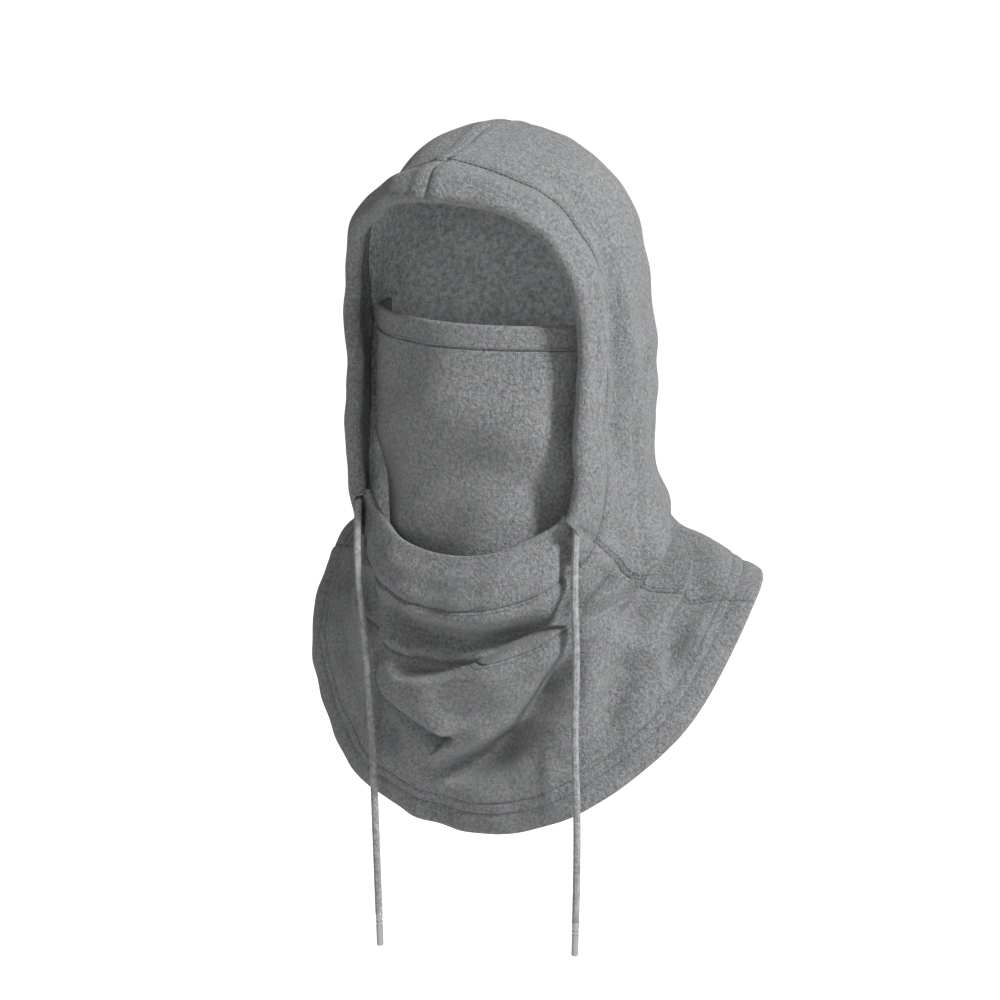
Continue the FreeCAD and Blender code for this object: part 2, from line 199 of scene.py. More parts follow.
# A furrow, or a ridge where the depth is negative: points, depth and width in millimetres.
FURROWS = {
    "under_cowl": ([(1.95, 2.75), (1.68, 3.3), (1.4, 3.95), (1.12, 4.6), (0.8, 5.4), (0.3, 6.2), (-0.1, 6.6),
                    (-0.45, 6.9)], 23, 8.5),
    "left_of_pocket": ([(-1.25, 3.0), (-1.22, 4.0), (-1.1, 5.0), (-0.95, 6.0), (-0.7, 6.8)], 7, 8),
    "cape_side": ([(2.4, 4.6), (2.1, 5.4), (1.78, 6.2), (1.5, 7.2)], 6, 9),
    "cape_side_roll": ([(2.1, 4.3), (1.75, 5.0), (1.4, 6.0), (1.1, 7.1)], -3.5, 11),
    "under_collar": ([(-1.6, 1.1), (-1.2, 1.32), (-0.6, 1.5), (0.1, 1.5), (0.8, 1.55), (1.5, 1.6), (2.1, 1.65)],
                     15, 9),
    "collar_end_left": ([(2.85, 0.2), (2.62, 0.5), (2.4, 0.85), (2.2, 1.1)], 3.0, 5),
    "collar_end_right": ([(-2.85, 0.2), (-2.62, 0.5), (-2.4, 0.9), (-2.2, 1.2)], 3.0, 5),
    "under_left_cord": ([(2.6, 0.6), (2.35, 1.1), (2.2, 1.6), (2.04, 2.1), (1.9, 2.8), (1.72, 3.8),
                         (1.5, 5.2)], 4.5, 8),
    "under_right_cord": ([(-2.4, 0.5), (-2.07, 1.0), (-1.75, 1.45), (-1.5, 2.0), (-1.3, 3.0), (-1.14, 4.1),
                          (-1.0, 5.2)], 6.0, 8),
    "collar_roll": ([(-2.2, 0.35), (-1.2, 0.4), (0, 0.42), (1.2, 0.4), (2.2, 0.35)], -2.0, 9),
    "hood_side": ([(5.9, 1.55), (5.4, 1.28), (5.0, 1.15), (4.6, 1.2), (4.3, 1.4), (4.0, 1.42), (3.7, 1.4),
                   (3.4, 1.5)], 6.0, 8),
    "hood_side_ridge": ([(5.62, 1.78), (5.2, 1.55), (4.8, 1.5), (4.4, 1.75), (4.1, 1.8), (3.9, 1.7),
                         (3.6, 2.02), (3.3, 2.15), (3.0, 2.25), (2.75, 2.6)], -4.0, 7),
    "neck_fold": ([(4.5, 2.3), (4.25, 2.5), (3.95, 2.3), (3.6, 2.5), (3.3, 2.75), (3.05, 2.75)], 6.5, 8),
    "neck_crease": ([(4.9, 1.9), (4.65, 2.2), (4.45, 2.6), (4.35, 3.2)], 2.5, 8),
    "hood_front": ([(7.0, 1.3), (6.4, 1.2), (5.9, 1.25), (5.5, 1.3)], 2.0, 9),
    "back_roll_cape": ([(3.4, 6.6), (3.1, 6.7), (2.9, 7.0), (2.7, 7.6)], 2.5, 9),
    "right_neck": ([(-4.0, 2.4), (-4.1, 3.4), (-3.8, 4.2), (-3.3, 4.2), (-2.9, 3.6), (-2.4, 3.2)], 6.5, 9),
    "right_roll": ([(-4.3, 4.4), (-4.0, 5.3), (-3.5, 5.6), (-3.0, 5.3), (-2.5, 5.0), (-2.0, 5.2)], 5.0, 10),
    "right_ridge": ([(-4.2, 3.9), (-3.8, 4.8), (-3.2, 4.7), (-2.6, 4.2), (-2.1, 4.0)], -5.0, 11),
    "right_cape": ([(-2.9, 6.0), (-2.5, 6.6), (-2.2, 7.4)], 3.0, 9),
    "right_side_fold": ([(-5.8, 1.6), (-5.2, 1.4), (-4.6, 1.35), (-4.0, 1.5), (-3.5, 1.6)], 3.0, 8),
    "nape_fold": ([(5.2, 5.6), (6.2, 5.5), (7.2, 5.75), (8, 5.8), (8.8, 5.75), (9.8, 5.5), (10.8, 5.6)], 5.0, 14),
    "nape_second": ([(4.8, 6.5), (6.0, 6.25), (7.0, 6.6), (8.1, 6.7), (9.2, 6.5), (10.2, 6.4), (11.2, 6.6)],
                    4.5, 13),
    "back_drape_left": ([(5.9, 6.8), (5.8, 7.4), (5.7, 8.2)], 4.5, 15),
    "back_drape_right": ([(-6.2, 6.9), (-6.1, 7.5), (-6.0, 8.3)], 4.5, 15),
    "back_drape_ridge": ([(7.2, 7.0), (7.1, 7.6), (7.0, 8.4)], -3.5, 15),
}
WRINKLE_HEIGHT = 0.0010
SEAM_DEPTH, SEAM_WIDTH = 0.0013, 0.0016
PUFF_HEIGHT, PUFF_WIDTH = 0.0012, 0.006
STITCH_ROWS = (0.013, 0.021)
ROW_DEPTH, ROW_WIDTH = 0.0009, 0.0012
HEM_ROLL, HEM_ROLL_PLACE, HEM_ROLL_WIDTH = 0.0008, 0.006, 0.005
MM = 0.001


def smooth_line(places, count=110):
    """Points, directions and outward normals along a smooth line through places on the skin."""
    places = np.array(places, float)
    places = np.concatenate([[2 * places[0] - places[1]], places, [2 * places[-1] - places[-2]]])
    spans = len(places) - 3
    where = np.linspace(0, spans - 1e-6, count)
    index = where.astype(int)
    share = (where - index)[:, None]
    a, b, c, d = (places[index + i] for i in range(4))
    line = 0.5 * (2 * b + (c - a) * share + (2 * a - 5 * b + 4 * c - d) * share ** 2
                  + (3 * b - a - 3 * c + d) * share ** 3)
    points, normals = skin(line[:, 0], line[:, 1])
    return points, np.gradient(points, axis=0), normals


def side_distance(points, line, reach):
    """How far points are from a line, positive on its left, and how far along it they are from 0 to 1."""
    at, direction, normal = line
    left = np.cross(normal, direction)
    left /= np.linalg.norm(left, axis=1, keepdims=True)
    steps = np.linalg.norm(direction, axis=1)
    distance = np.full(len(points), 1.0)
    along = np.zeros(len(points))
    pull = np.zeros((len(points), 3))
    low, high = at.min(axis=0) - reach, at.max(axis=0) + reach
    near = np.flatnonzero(((points > low) & (points < high)).all(axis=1))
    for part in np.array_split(near, max(1, len(near) // 20000)):
        gaps = points[part, None] - at[None]
        lengths = np.linalg.norm(gaps, axis=2)
        nearest = lengths.argmin(axis=1)
        gap = gaps[np.arange(len(part)), nearest]
        past = np.einsum("ij,ij->i", gap, direction[nearest]) / steps[nearest] ** 2
        past = np.clip(past, -0.5, 0.5)
        gap = gap - direction[nearest] * past[:, None]
        aside = np.einsum("ij,ij->i", gap, left[nearest])
        distance[part] = np.copysign(np.linalg.norm(gap, axis=1), aside)
        along[part] = (nearest + past) / (len(at) - 1)
        pull[part] = left[nearest]
    return distance, along, pull


def faded(along, share=0.22):
    """1 in the middle of a line, and down to 0 at its ends."""
    return smooth_step(along / share) * smooth_step((1 - along) / share)


def bell(value, width):
    return np.exp(-(value / width) ** 2)


def lip_shift(points, normals, fold):
    places, height, high_width, depth, drop, low_width, lean = fold
    line = smooth_line(places)
    distance, along, pull = side_distance(points, line, 0.06)
    d = distance / MM
    high = height * bell(np.minimum(d, 0), high_width)
    falling = height - (height + depth) * smooth_step(d / drop)
    low = -depth * bell(np.maximum(d - drop, 0), low_width)
    rise = np.where(d < 0, high, np.where(d < drop, falling, low)) * faded(along)
    leaning = lean * bell(d + 1, 6) * faded(along)
    return normals * (rise * MM)[:, None] + pull * (leaning * MM)[:, None]


def furrow_shift(points, normals, fold):
    places, depth, width = fold
    distance, along, _ = side_distance(points, smooth_line(places), 0.05)
    return normals * (-depth * MM * bell(distance / MM, width) * faded(along, 0.3))[:, None]


def wrinkles(points):
    """Soft uneven waves, the same ones each time."""
    total = np.zeros(len(points))
    generator = np.random.default_rng(11)
    for length in (0.085, 0.06, 0.045, 0.033, 0.024):
        for _ in range(3):
            direction = generator.normal(size=3)
            direction *= 2 * math.pi / (length * np.linalg.norm(direction))
            bend = generator.normal(size=3) * 40
            phase = generator.uniform(0, 6.28)
            total += np.sin(points @ direction + phase + 0.8 * np.sin(points @ bend)) * length
    return total / 0.12 * WRINKLE_HEIGHT


def seam_relief(distance):
    """A seam's narrow groove between two soft puffed sides."""
    puffs = PUFF_HEIGHT * bell(np.abs(distance) - PUFF_WIDTH, PUFF_WIDTH * 0.7)
    return puffs - SEAM_DEPTH * bell(distance, SEAM_WIDTH)


def relief(around, out, points, normals):
    """How far each place on the skin moves away from the smooth garment."""
    shift = normals * wrinkles(points)[:, None]
    for fold in LIPS.values():
        shift += lip_shift(points, normals, fold)
    for fold in FURROWS.values():
        shift += furrow_shift(points, normals, fold)
    from_hem = (LAST - out) * HEM_DEPTH
    height = np.zeros(len(points))
    for row in STITCH_ROWS:
        height -= ROW_DEPTH * bell(from_hem - row, ROW_WIDTH)
    height += HEM_ROLL * bell(from_hem - HEM_ROLL_PLACE, HEM_ROLL_WIDTH)
    spacing = np.linalg.norm(skin(around, out + STEP)[0] - skin(around, out - STEP)[0], axis=1) / (2 * STEP)
    spacing = np.maximum(spacing, 0.01)
    for seam in (SEAM, THROAT):
        on_front = 1.0 if seam == SEAM else smooth_step((CASING_END + 0.05 - np.abs(around)) / 0.1)
        height += seam_relief((out - seam) * spacing) * on_front
    width = np.linalg.norm(skin(around + STEP, out)[0] - skin(around - STEP, out)[0], axis=1) / (2 * STEP)
    wrapped = np.abs(around)
    below_casing = smooth_step((out - 0.1) / 0.2)
    height += seam_relief((wrapped - STATIONS) * width)
    height += 0.6 * seam_relief((wrapped - CASING_END) * width) * below_casing
    return shift + normals * height[:, None]


# ---------------------------------------------------------------- meshes
def new_object(name, points, faces, materials, face_materials=None, smooth=True):
    mesh = bpy.data.meshes.new(name)
    mesh.from_pydata(points, [], faces)
    piece = bpy.data.objects.new(name, mesh)
    scene.collection.objects.link(piece)
    for material in materials:
        mesh.materials.append(material)
    if face_materials is not None:
        mesh.polygons.foreach_set("material_index", np.asarray(face_materials, dtype=np.int32))
    mesh.polygons.foreach_set("use_smooth", np.full(len(mesh.polygons), smooth))
    mesh.update()
    return piece


def looped_faces(columns, rows):
    """Quads of a grid whose rows close into a loop. Its two end columns are capped by quads from side to side."""
    column, row = np.meshgrid(np.arange(columns - 1), np.arange(rows), indexing="ij")
    following = (row + 1) % rows
    quads = np.stack([column * rows + row, (column + 1) * rows + row,
                      (column + 1) * rows + following, column * rows + following], -1).reshape(-1, 4)
    pair = np.arange(rows // 2 - 1)
    start = np.stack([pair, pair + 1, rows - 2 - pair, rows - 1 - pair], -1)
    end = start[:, ::-1] + (columns - 1) * rows
    return np.concatenate([quads, start, end])


def surface(around, out, height):
    """Points on the folded garment, some millimetres above its outside. out may run a little past the rings."""
    inside = np.clip(out, 0, LAST)
    base, normals = skin(around, inside)
    inner, _ = skin(around, np.clip(inside - 0.05 * np.sign(out - inside), 0, LAST))
    base = base + (base - inner) / 0.05 * np.abs(out - inside)[:, None]
    return base + relief(around, inside, base, normals) + normals * (np.asarray(height) * MM).reshape(-1, 1)


FABRIC_MM = 2.0
EDGE_UNIT = 30.0
HEM_UNIT = HEM_DEPTH / MM
TUNNEL, SEAM_GAP = 7.1, 0.3
AROUND_STEP = 0.02
OUT_STEP = 0.04


def sheet_loop(path, unit):
    """Both faces of a sheet of fabric, as a closed loop of (out, height) round its middle line.

    unit is the length of one ring in millimetres, and heights are in millimetres.
    """
    middle = np.array(path, float) * (unit, 1)
    direction = np.gradient(middle, axis=0)
    direction /= np.linalg.norm(direction, axis=1, keepdims=True)
    across = np.stack([-direction[:, 1], direction[:, 0]], -1) * FABRIC_MM / 2
    return np.concatenate([middle + across, (middle - across)[::-1]]) / (unit, 1)


def run(start, end, step, height):
    """Places of a middle line from one ring to another, at a height that may depend on the ring."""
    places = np.linspace(start, end, max(2, int(abs(end - start) / step) + 1))
    return [(place, height(place)) for place in places]


def turn(centre, height, radius, unit, side, count):
    """A half circle from low to high round the face opening (side -1), or from high to low at the hem (side 1)."""
    angles = [math.radians(side * (90 - 180 * i / count)) for i in range(1, count)]
    return [(centre + side * radius * math.cos(a) / unit, height + radius * math.sin(a)) for a in angles]


def folded_edge(top, bottom):
    """A strip folded at the face opening: from the casing seam in, round the fold and out again on top."""
    radius = (top(0) - bottom) / 2
    start = radius / EDGE_UNIT
    path = run(SEAM, start, 0.03, lambda out: bottom)
    path += turn(start, bottom + radius, radius, EDGE_UNIT, -1, 14)
    path += run(start, SEAM, 0.03, top)
    return sheet_loop(path, EDGE_UNIT)


def hemmed_edge(out0):
    """A panel from a ring down to the hem, with its edge turned up inside."""
    radius = FABRIC_MM / 2 + 0.1
    middle = -FABRIC_MM / 2
    last = LAST - radius / HEM_UNIT
    path = run(out0, last, OUT_STEP, lambda out: middle)
    path += turn(last, middle - radius, radius, HEM_UNIT, 1, 6)
    path += run(last, HEM_LINE, OUT_STEP, lambda out: middle - 2 * radius)
    return sheet_loop(path, HEM_UNIT)


def flap(around, out, height):
    """How far the casing's outer layer hangs past the end of its inner layer, most at the seam."""
    wrapped = (around + STATIONS) % (2 * STATIONS) - STATIONS
    near_end = 1 - smooth_step((np.abs(wrapped) - CASING_END) / 0.6)
    outer_layer = smooth_step((height + 0.5) / 1.5)
    return -np.sign(wrapped) * (0.06 + 0.30 * smooth_step((out - 0.25) / 0.6)) * near_end * outer_layer


def fabric_strip(name, around0, around1, loop):
    """A strip of the garment: a closed loop of (out, height) carried around the skin.

    The loop's first half is the fabric's right side and its second half the inner pile. A casing's outer layer
    hangs a little past its ends.
    """
    columns = int(round((around1 - around0) / AROUND_STEP)) + 1
    arounds = np.linspace(around0, around1, columns)
    out, height = np.tile(loop[:, 0], columns), np.tile(loop[:, 1], columns)
    around = np.repeat(arounds, len(loop))
    if name.startswith("casing"):
        around = around + flap(around, out, height)
    points = surface(around, out, height)
    faces = looped_faces(columns, len(loop))
    # Faces of the inner pile get the second material, whose much lighter grey is painted light standing in for the
    # light inside the hood.
    pile = np.zeros(len(faces), dtype=int)
    pile[:(columns - 1) * len(loop)] = np.tile(np.arange(len(loop)) >= len(loop) // 2, columns - 1)
    piece = new_object(f"{name}_cloth", points.tolist(), faces.tolist(), [fleece, fleece_inside_painted_light], pile)
    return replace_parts(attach(piece, "root"), name)


def casing_top(out):
    roof = SEAM_GAP + (TUNNEL - SEAM_GAP) * (1 - smooth_step((out - 0.55) / 0.4))
    return roof + FABRIC_MM / 2


def tube(name, centres, radius_at, sides, material):
    """A tube round a line of points. radius_at gives the radius for a distance along and an angle."""
    centres = np.asarray(centres, float)
    direction = np.gradient(centres, axis=0)
    direction /= np.linalg.norm(direction, axis=1, keepdims=True)
    first = np.cross(direction[0], (0.3, 0.9, 0.1))
    frames = []
    for way in direction:
        first = first - way * (first @ way)
        first /= np.linalg.norm(first)
        frames.append((first, np.cross(way, first)))
    frames = np.array(frames)
    along = np.concatenate([[0], np.cumsum(np.linalg.norm(np.diff(centres, axis=0), axis=1))])
    angles = np.arange(sides) * 2 * math.pi / sides
    radii = radius_at(along[:, None], angles[None, :])
    spokes = frames[:, 0, None] * np.cos(angles)[None, :, None]
    spokes = spokes + frames[:, 1, None] * np.sin(angles)[None, :, None]
    points = (centres[:, None] + spokes * radii[..., None]).reshape(-1, 3)
    ring, side = np.meshgrid(np.arange(len(centres) - 1), np.arange(sides), indexing="ij")
    following = (side + 1) % sides
    quads = np.stack([ring * sides + side, ring * sides + following,
                      (ring + 1) * sides + following, (ring + 1) * sides + side], -1).reshape(-1, 4)
    faces = quads.tolist() + [list(range(sides))[::-1], list(range(len(points) - sides, len(points)))]
    return new_object(name, points.tolist(), faces, [material])


# ---------------------------------------------------------------- materials
def new_material(name, roughness, metallic=0.0, sheen=0.0):
    material = bpy.data.materials.new(name)
    material.use_nodes = True
    shader = material.node_tree.nodes["Principled BSDF"]
    shader.inputs["Roughness"].default_value = roughness
    shader.inputs["Metallic"].default_value = metallic
    shader.inputs["Sheen Weight"].default_value = sheen
    shader.inputs["Sheen Roughness"].default_value = 0.6
    return material, material.node_tree, shader


def noise(tree, scale, detail, vector):
    node = tree.nodes.new("ShaderNodeTexNoise")
    node.inputs["Scale"].default_value = scale
    node.inputs["Detail"].default_value = detail
    node.inputs["Roughness"].default_value = 0.6
    tree.links.new(vector, node.inputs["Vector"])
    return node.outputs["Fac"]


def colour_ramp(tree, factor, stops):
    """A ramp through (place, grey) stops, in a faintly cool grey."""
    node = tree.nodes.new("ShaderNodeValToRGB")
    ends = node.color_ramp.elements
    for element, (place, grey) in zip(ends, (stops[0], stops[-1])):
        element.position = place
        element.color = (grey * 0.975, grey * 1.0, grey * 1.02, 1)
    tree.links.new(factor, node.inputs["Fac"])
    return node.outputs["Color"]


def bump(tree, shader, height, distance, strength=1.0):
    node = tree.nodes.new("ShaderNodeBump")
    node.inputs["Strength"].default_value = strength
    node.inputs["Distance"].default_value = distance
    tree.links.new(height, node.inputs["Height"])
    tree.links.new(node.outputs["Normal"], shader.inputs["Normal"])


def mixed(tree, first, second, share):
    node = tree.nodes.new("ShaderNodeMix")
    node.data_type = "FLOAT"
    node.inputs["Factor"].default_value = share
    tree.links.new(first, node.inputs[2])
    tree.links.new(second, node.inputs[3])
    return node.outputs[0]


def fleece_material(name, low, high, pebble, depth):
    """Brushed fleece: pebbles of pile of a given size, with soft light and dark patches."""
    material, tree, shader = new_material(name, 0.95, sheen=0.12)
    where = tree.nodes.new("ShaderNodeTexCoord").outputs["Object"]
    coarse = noise(tree, 0.8 / pebble, 2.0, where)
    fine = noise(tree, 1.9 / pebble, 3.0, where)
    pile = mixed(tree, coarse, fine, 0.45)
    patches = mixed(tree, pile, noise(tree, 14, 2.0, where), 0.08)
    tree.links.new(colour_ramp(tree, patches, [(0.39, low), (0.61, high)]), shader.inputs["Base Color"])
    bump(tree, shader, pile, depth)
    return material


def cord_material(name):
    material, tree, shader = new_material(name, 0.8, sheen=0.1)
    where = tree.nodes.new("ShaderNodeTexCoord").outputs["Object"]
    heather = mixed(tree, noise(tree, 900, 2.0, where), noise(tree, 260, 1.0, where), 0.4)
    tree.links.new(colour_ramp(tree, heather, [(0.4, 0.14), (0.6, 0.28)]), shader.inputs["Base Color"])
    bump(tree, shader, noise(tree, 1500, 1.0, where), 0.0002, 0.6)
    return material


def plain_material(name, colour, roughness, metallic=0.0):
    material, _, shader = new_material(name, roughness, metallic)
    shader.inputs["Base Color"].default_value = (*colour, 1)
    return material


fleece = fleece_material("fleece_outside", 0.105, 0.235, 0.0018, 0.0032)
# The inner pile's grey is painted much lighter than the outside: painted light standing in for the light that falls
# into the hood.
fleece_inside_painted_light = fleece_material("fleece_inside_painted_light", 0.34, 0.72, 0.0030, 0.0050)
mask_fleece = fleece_material("fleece_mask", 0.105, 0.25, 0.0018, 0.0030)
knit = cord_material("cord_knit")
thread = plain_material("thread", (0.11, 0.113, 0.118), 0.8)
metal = plain_material("aglet_metal", (0.40, 0.395, 0.375), 0.45, 1.0)


# ---------------------------------------------------------------- fabric panels
full_turn = 2 * STATIONS
casing_loop = folded_edge(casing_top, -FABRIC_MM / 2)
collar_loop = folded_edge(lambda out: -FABRIC_MM / 2, -FABRIC_MM * 1.5 - 0.4)
side_loop = hemmed_edge(SEAM)
flats = {"casing": (0.06, 0.4, 0.019), "side_panel": (0.28, 0.42, 0.073)}
for side, around0, around1 in (("left", CASING_END, STATIONS), ("right", STATIONS, full_turn - CASING_END)):
    for part, loop, rests in (("casing", casing_loop, "side_panel"), ("side_panel", side_loop, "front_bib")):
        strip = fabric_strip(f"{part}_{side}", around0, around1, loop)
        width, length, area = flats[part]
for name, loop, (width, length, area) in (
        ("collar", collar_loop, (0.07, 0.24, 0.0135)),
        ("throat_panel", sheet_loop(run(SEAM, THROAT, OUT_STEP, lambda out: -FABRIC_MM / 2), EDGE_UNIT),
         (0.045, 0.27, 0.009)),
        ("front_bib", hemmed_edge(THROAT), (0.17, 0.42, 0.052))):
    strip = fabric_strip(name, -CASING_END, CASING_END, loop)


# ---------------------------------------------------------------- the face mask
MASK_TOP, MASK_BOTTOM, MASK_HEM = -0.121, -0.296, 0.016
MASK_HALF_WIDTH, MASK_REACH = 0.084, 0.058
MASK_THICK, MASK_GAP = 0.0018, 0.0003


def mask_points(angle, z, inward):
    """Points of the mask at angles round the face, from ear to ear through the front, and heights."""
    down = (MASK_TOP - z) / (MASK_TOP - MASK_BOTTOM)
    side = np.abs(np.cos(angle))
    taper = 1 - 0.17 * down ** 2 * side
    waves = 0.0016 * np.sin(7 * angle + 5 * down) * smooth_step(down * 3)
    waves += 0.0030 * bell(down - 0.42 - 0.10 * np.cos(2 * angle), 0.09)
    waves -= 0.0035 * bell(down - 0.62 - 0.08 * np.cos(3 * angle + 1), 0.08) * (1 - side ** 4)
    waves += 0.0020 * np.sin(3.1 * angle + 9 * down + 1.0) * down
    nose = 0.004 * bell(angle - 1.5 * math.pi, 0.45) * bell(down - 0.25, 0.3)
    out = waves + nose - inward
    x = (MASK_HALF_WIDTH * taper + out) * np.cos(angle)
    y = (MASK_REACH + out) * np.sin(angle)
    return np.stack([x, y, z], -1)


def mask_strip(name, top, bottom, thick, body, rows):
    """A band of the mask as a closed sheet, rounded at its top and bottom edges."""
    turn_angles = np.linspace(0, math.pi, 7)[1:-1]
    heights = np.linspace(top - thick / 2, bottom + thick / 2, rows)
    loop = [(z, 0.0) for z in heights]
    loop += [(bottom + thick / 2 * (1 - math.sin(a)), thick / 2 * (1 - math.cos(a))) for a in turn_angles]
    loop += [(z, thick) for z in heights[::-1]]
    loop += [(top - thick / 2 * (1 - math.sin(a)), thick / 2 * (1 + math.cos(a))) for a in turn_angles]
    loop = np.array(loop)
    angles = np.linspace(math.pi, 2 * math.pi, 260)
    points = mask_points(np.repeat(angles, len(loop)), np.tile(loop[:, 0], len(angles)),
                         np.tile(loop[:, 1], len(angles)))
    faces = looped_faces(len(angles), len(loop))
    piece = new_object(f"{name}_cloth", points.tolist(), faces.tolist(), [mask_fleece])
    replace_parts(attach(piece, body), name)
    return piece


mask_panel = mask_strip("mask_panel", MASK_TOP - MASK_HEM - MASK_GAP, MASK_BOTTOM, MASK_THICK, "root", 110)
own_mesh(mask_panel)
mask_strip("mask_hem", MASK_TOP, MASK_TOP - MASK_HEM, 2 * MASK_THICK, "mask_top", 14)


# ---------------------------------------------------------------- the drawcord
CORD_RADIUS = 0.0025
CORD_HEIGHT = 3.9
CORD_PLACE = 0.3
TAIL_GAP = 0.0011
TAILS = {
    "left": [(82, -44, -270), (85, -50, -294), (88, -52, -332), (87, -53, -388), (89, -51, -448),
             (88, -52, -508)],
    "right": [(-77, -51, -270), (-70, -61, -296), (-62, -66, -334), (-58, -65, -392), (-55, -66, -458),
              (-54, -64, -522)],
}


def knitted(along, angle):
    """The radius of the cord, with eight columns of slanting stitches."""
    column = 8 * angle / (2 * math.pi)
    within = column - np.floor(column) - 0.5
    slant = along / 0.0026 + 0.55 * np.abs(within) * 2 + 0.5 * (np.floor(column) % 2)
    return CORD_RADIUS * (0.955 + 0.05 * np.cos(2 * math.pi * within) + 0.035 * np.cos(2 * math.pi * slant))


def even_points(points, step):
    """Points at even distances along a line of points."""
    points = np.asarray(points, float)
    along = np.concatenate([[0], np.cumsum(np.linalg.norm(np.diff(points, axis=0), axis=1))])
    places = np.linspace(0, along[-1], int(along[-1] / step) + 1)
    return np.stack([np.interp(places, along, points[:, axis]) for axis in range(3)], -1)


def smooth_route(points):
    """The middle line of a hanging cord, read from a smooth curve through the route."""
    curve = bpy.data.curves.new("route", "CURVE")
    curve.dimensions = "3D"
    curve.resolution_u = 40
    spline = curve.splines.new("NURBS")
    spline.points.add(len(points) - 1)
    for place, point in zip(spline.points, points):
        place.co = (*point, 1)
    spline.order_u = 3
    spline.use_endpoint_u = True
    holder = bpy.data.objects.new("route", curve)
    scene.collection.objects.link(holder)
    bpy.context.view_layer.update()
    mesh = bpy.data.meshes.new_from_object(holder)
    line = np.array([vertex.co for vertex in mesh.vertices])
    bpy.data.objects.remove(holder)
    bpy.data.meshes.remove(mesh)
    return even_points(line, 0.0005)


def in_tunnel(around0, around1):
    """The middle line of the cord inside the casing."""
    around = np.linspace(around0, around1, 400)
    base, normals = skin(around, np.full(400, CORD_PLACE))
    return even_points(base + normals * CORD_HEIGHT * MM, 0.0007)


def cord_piece(name, line, body):
    piece = tube(f"{name}_knit", line, knitted, 32, knit)
    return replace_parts(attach(piece, body), name)


def aglet_radius(along, angle):
    """A metal tube with a rolled rim at its mouth, two crimps and a rounded tip."""
    rim = 0.00022 * bell(along - 0.0006, 0.0005)
    crimps = 0.00025 * (bell(along - 0.005, 0.0007) + bell(along - 0.0078, 0.0007))
    tip = 1 - smooth_step((along - 0.0222) / 0.0008)
    return (0.0023 + rim - crimps) * (0.72 + 0.28 * tip) + 0 * angle


SIDE_END = CASING_END + 1
cord_piece("drawcord_arch", in_tunnel(SIDE_END + 0.05, full_turn - SIDE_END - 0.05), "root")
for side, sign in (("left", 1), ("right", -1)):
    inside_casing = in_tunnel(sign * (SIDE_END - 0.02), sign * (CASING_END + 0.02))
    cord_piece(f"drawcord_side_{side}", inside_casing, f"cord_{side}")
    mouth = in_tunnel(sign * (CASING_END + 0.1), sign * CASING_END)[-1]
    hanging = np.array(TAILS[side]) * MM
    way = (hanging[0] - mouth) / np.linalg.norm(hanging[0] - mouth)
    line = smooth_route([mouth + way * TAIL_GAP, *hanging])
    tail = cord_piece(f"drawcord_tail_{side}", line, f"cord_{side}")
    way = (line[-1] - line[-40]) / np.linalg.norm(line[-1] - line[-40])
    lengths = np.concatenate([np.arange(0, 0.022, 0.00025), np.arange(0.022, 0.02301, 0.0001)])
    end = tube(f"aglet_{side}_metal", line[-1] + way * lengths[:, None], aglet_radius, 36, metal)
    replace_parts(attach(end, f"cord_{side}"), f"aglet_{side}")


# ---------------------------------------------------------------- stitches
STITCH_LENGTH, STITCH_GAP, STITCH_RADIUS = 0.0024, 0.0010, 0.00035
UPWARDS, BACKWARDS = (0.0, 0.0, 1.0), (0.0, 1.0, 0.3)


def stitches(name, line, lift, body="root"):
    """Separate stitches along a line of points, each a short thread that narrows at both ends."""
    places = even_points(line, (STITCH_LENGTH + STITCH_GAP) / 8)
    sides = 6
    angles = np.arange(sides) * 2 * math.pi / sides
    points, faces = [], []
    shares = np.array([0.0, 0.12, 0.5, 0.88, 1.0])
    swell = np.array([0.3, 0.85, 1.0, 0.85, 0.3])
    for start in range(0, len(places) - 8, 8):
        a, b = places[start], places[start + 6]
        way = (b - a) / np.linalg.norm(b - a)
        first = np.cross(way, lift)
        first /= np.linalg.norm(first)
        second = np.cross(way, first)
        base = len(points)
        for share, size in zip(shares, swell):
            centre = a + (b - a) * share
            for angle in angles:
                spoke = first * math.cos(angle) + second * math.sin(angle)
                points.append(centre + spoke * STITCH_RADIUS * size)
        for ring in range(len(shares) - 1):
            for i in range(sides):
                j = (i + 1) % sides
                faces.append([base + ring * sides + i, base + ring * sides + j,
                              base + (ring + 1) * sides + j, base + (ring + 1) * sides + i])
        faces.append([base + i for i in range(sides)][::-1])
        faces.append([base + (len(shares) - 1) * sides + i for i in range(sides)])
    piece = new_object(f"{name}_stitches", np.array(points).tolist(), faces, [thread], smooth=False)
    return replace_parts(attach(piece, body), name)


def stitched_line(name, around0, around1, out0, out1, height=0.15):
    """Stitches from one place on the garment to another."""
    count = 900
    around, out = np.linspace(around0, around1, count), np.linspace(out0, out1, count)
    heights = height(out) if callable(height) else np.full(count, height)
    line = surface(around, out, heights)
    return stitches(name, line, UPWARDS if around0 == around1 else BACKWARDS)


INSET = 0.05
right_end = full_turn - CASING_END - INSET
stitched_line("casing_seam_thread_left", CASING_END + INSET, STATIONS - INSET, SEAM + 0.05, SEAM + 0.05)
stitched_line("casing_seam_thread_right", STATIONS + INSET, right_end, SEAM + 0.05, SEAM + 0.05)
stitched_line("collar_seam_thread", -CASING_END + INSET, CASING_END - INSET, SEAM + 0.05, SEAM + 0.05)
stitched_line("throat_seam_thread", -CASING_END + INSET, CASING_END - INSET, THROAT + 0.05, THROAT + 0.05)
stitched_line("casing_centre_thread", STATIONS + 0.04, STATIONS + 0.04, 0.2, SEAM - INSET,
              lambda out: casing_top(out) + 1.15)
stitched_line("crown_seam_thread", STATIONS + 0.06, STATIONS + 0.06, SEAM + 0.1, HEM_LINE - INSET)
stitched_line("front_seam_thread_left", CASING_END + INSET, CASING_END + INSET, SEAM + 0.1, HEM_LINE - INSET)
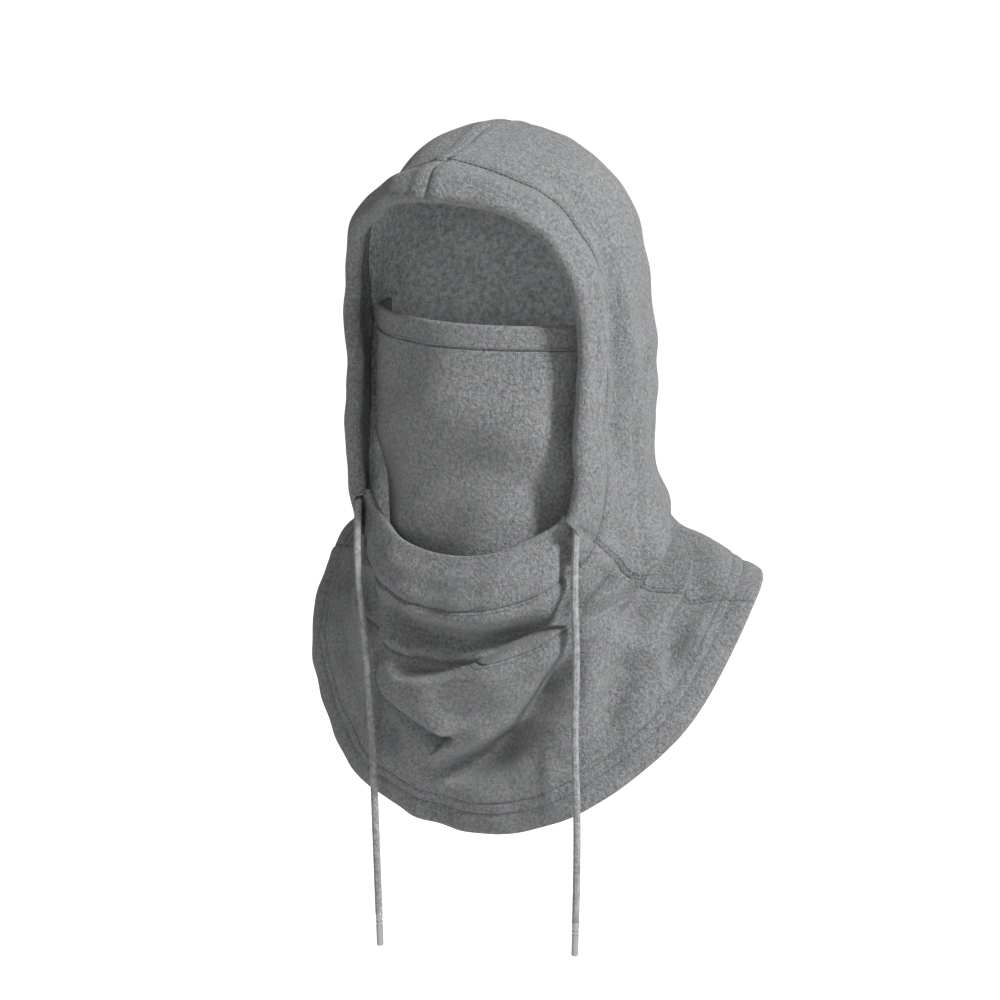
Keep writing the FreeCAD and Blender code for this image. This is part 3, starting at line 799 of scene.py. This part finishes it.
stitched_line("front_seam_thread_right", -CASING_END - INSET, -CASING_END - INSET, SEAM + 0.1, HEM_LINE - INSET)
for row, depth in zip(("outer", "inner"), STITCH_ROWS):
    hem_place = LAST - depth / HEM_DEPTH
    stitched_line(f"hem_thread_{row}", -STATIONS + INSET, STATIONS - INSET, hem_place, hem_place)
angles = np.linspace(1.01 * math.pi, 1.99 * math.pi, 600)
mask_line = mask_points(angles, np.full(600, MASK_TOP - MASK_HEM + 0.0016), -0.0001)
stitches("mask_hem_thread", mask_line, UPWARDS, "mask_top")


# ---------------------------------------------------------------- floor, light and camera
def area_light(name, place, target, power, width):
    data = bpy.data.lights.new(name, "AREA")
    data.shape = "DISK"
    data.size = width
    data.energy = power
    light = bpy.data.objects.new(name, data)
    light.location = place
    light.rotation_euler = (Vector(target) - Vector(place)).to_track_quat("-Z", "Y").to_euler()
    scene.collection.objects.link(light)
    return light


def seen_directly(tree, lighting, shown):
    """One strength for the light that falls on the garment and another for what the camera sees."""
    node = tree.nodes.new("ShaderNodeMapRange")
    node.inputs["To Min"].default_value = lighting
    node.inputs["To Max"].default_value = shown
    tree.links.new(tree.nodes.new("ShaderNodeLightPath").outputs["Is Camera Ray"], node.inputs["Value"])
    return node.outputs["Result"]


FLOOR_SIZE, FLOOR_HEIGHT = 30, -1.0
bpy.ops.mesh.primitive_plane_add(size=FLOOR_SIZE, location=(0, 0, FLOOR_HEIGHT))
floor = bpy.context.object
floor.name = "floor"
floor_white, tree, shader = new_material("floor_white", 0.9)
shader.inputs["Base Color"].default_value = (0.93, 0.93, 0.93, 1)
shader.inputs["Emission Color"].default_value = (1, 1, 1, 1)
tree.links.new(seen_directly(tree, 0.0, 0.75), shader.inputs["Emission Strength"])
floor.data.materials.append(floor_white)

world = bpy.data.worlds.new("studio")
scene.world = world
world.use_nodes = True
background = world.node_tree.nodes["Background"]
background.inputs["Color"].default_value = (1, 1, 1, 1)
world.node_tree.links.new(seen_directly(world.node_tree, 0.30, 1.0), background.inputs["Strength"])
scene.view_settings.view_transform = "Standard"

LOOK_AT = (0.0284, -0.0465, -0.2358)
lights = [
    area_light("key", (2.3, -0.35, 1.75), LOOK_AT, 150, 0.45),
    area_light("fill", (0.6, -2.9, 0.5), LOOK_AT, 15, 0.9),
]

CAMERA_DISTANCE, LENS = 2.6, 146.25
camera = bpy.data.objects.new("camera", bpy.data.cameras.new("camera"))
camera.data.lens = LENS
camera.data.sensor_width = 36
azimuth, elevation = math.radians(30), math.radians(13)
back = Vector((math.sin(azimuth) * math.cos(elevation), -math.cos(azimuth) * math.cos(elevation),
               math.sin(elevation)))
camera.location = Vector(LOOK_AT) + back * CAMERA_DISTANCE
camera.rotation_euler = (-back).to_track_quat("-Z", "Y").to_euler()
scene.collection.objects.link(camera)
scene.camera = camera
